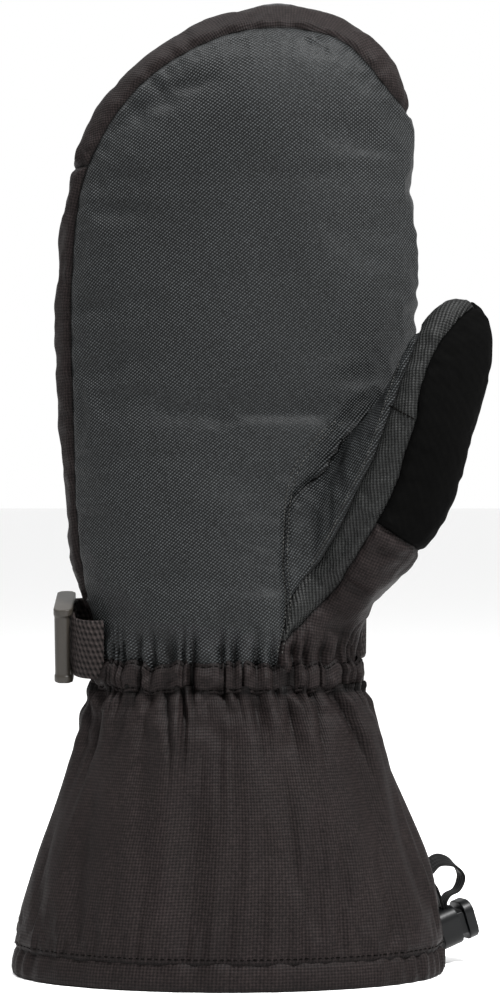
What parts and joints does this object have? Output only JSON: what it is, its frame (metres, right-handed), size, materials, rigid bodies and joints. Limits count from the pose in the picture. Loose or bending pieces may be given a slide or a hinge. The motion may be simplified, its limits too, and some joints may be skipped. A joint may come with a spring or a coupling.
{
  "type": "ski mitten",
  "caption": "Right-hand insulated ski mitten with a gauntlet cuff, a wrist strap with a ladder-lock buckle and a hem pull loop with a cord lock.",
  "frame": {"origin": "middle of the mitten's outline at the level of the hem that it stands on", "axes": "+Z from the hem to the fingertips, -Y out of the palm, +X towards the thumb"},
  "size_m": [0.176, 0.096, 0.3573],
  "materials": {
    "coated_twill": "coated twill, satin",
    "nylon": "plain-weave nylon, matte",
    "microfibre": "suede-like microfibre, matte",
    "gusset_knit": "open knit, matte",
    "membrane": "thin waterproof film",
    "wadding": "polyester wadding",
    "fleece": "brushed fleece",
    "lining_cloth": "smooth taffeta",
    "webbing": "coarse woven webbing",
    "tape": "narrow woven tape with stitched edges",
    "elastic": "knitted elastic",
    "buckle_plastic": "glossy moulded acetal",
    "lock_plastic": "moulded plastic, satin",
    "spring_steel": "bright spring wire"
  },
  "bodies": {
    "mitten": {"palm_panel": "coated_twill", "fingertip_panel": "nylon", "back_hand_panel": "nylon", "thumb_wipe_panel_root": "microfibre", "thumb_base_panel": "nylon", "thumb_palm_strip_root": "coated_twill", "thumb_gusset": "gusset_knit", "waterproof_insert": "membrane", "palm_insulation": "wadding", "back_insulation": "wadding", "thumb_root_insulation": "wadding", "hand_lining": "fleece", "thumb_root_lining": "fleece", "wrist_band": "nylon", "wrist_elastic": "elastic", "gauntlet_front_panel": "nylon", "gauntlet_back_panel": "nylon", "gauntlet_lining": "lining_cloth", "hem_channel": "nylon", "hem_draw_tape": "tape", "wrist_strap": "webbing", "buckle_loop": "webbing", "adjusting_strap_root": "webbing", "cord_lock_body": "lock_plastic", "cord_lock_spring": "spring_steel", "lock_tab": "webbing", "pull_loop": "tape"},
    "thumb": {"thumb_wipe_panel": "microfibre", "thumb_palm_strip": "coated_twill", "thumb_inner_panel": "coated_twill", "waterproof_insert_thumb": "membrane", "thumb_insulation": "wadding", "thumb_lining": "fleece"},
    "buckle": {"wrist_buckle": "buckle_plastic", "adjusting_strap_end": "webbing"},
    "lock_button": {"cord_lock_button": "lock_plastic"}
  },
  "joints": [
    {"name": "thumb_swing", "type": "hinge", "parent": "mitten", "child": "thumb", "pos_m": [0.059, -0.0235, 0.194], "axis": [0, 1, 0], "range_deg": [-10, 20]},
    {"name": "buckle_tilt", "type": "hinge", "parent": "mitten", "child": "buckle", "pos_m": [-0.0679, 0.01637, 0.12628], "axis": [0, 0.225, -0.9744], "range_deg": [0, 40]},
    {"name": "lock_button_press", "type": "slide", "parent": "mitten", "child": "lock_button", "axis": [-0.8619, -0.4019, -0.309], "range_m": [0, 0.0025], "stiffness_N_per_m": 600, "springref_m": -0.001}
  ]
}
